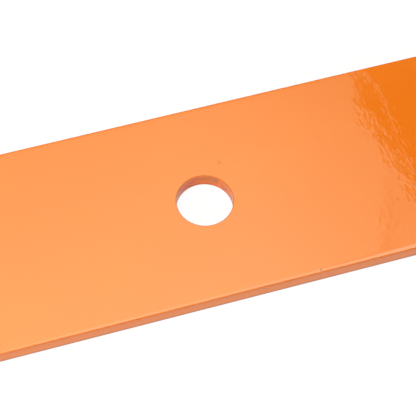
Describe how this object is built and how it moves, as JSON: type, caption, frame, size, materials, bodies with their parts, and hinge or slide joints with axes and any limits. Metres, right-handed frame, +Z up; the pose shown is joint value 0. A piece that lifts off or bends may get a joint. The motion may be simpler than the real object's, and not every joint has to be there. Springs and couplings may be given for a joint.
{
  "type": "rotary mower blade",
  "caption": "Flat orange-painted steel bar with a round spindle hole in its middle, a ground cutting edge and an upturned lift wing at each end; it spins flat under a mower deck.",
  "frame": {"origin": "middle of the spindle hole, on the underside of the bar", "axes": "+X along the blade from the hole to one tip, +Y across it towards that tip's trailing edge and lift wing, +Z up along the spindle axis, out of the side that the wings rise from"},
  "size_m": [0.52, 0.0636, 0.0171],
  "materials": {
    "orange_enamel": "gloss orange enamel with a light orange peel, thinner and duller on the sheared edges and in the punched hole"
  },
  "bodies": {
    "root": {"blade": "orange_enamel"}
  },
  "joints": []
}
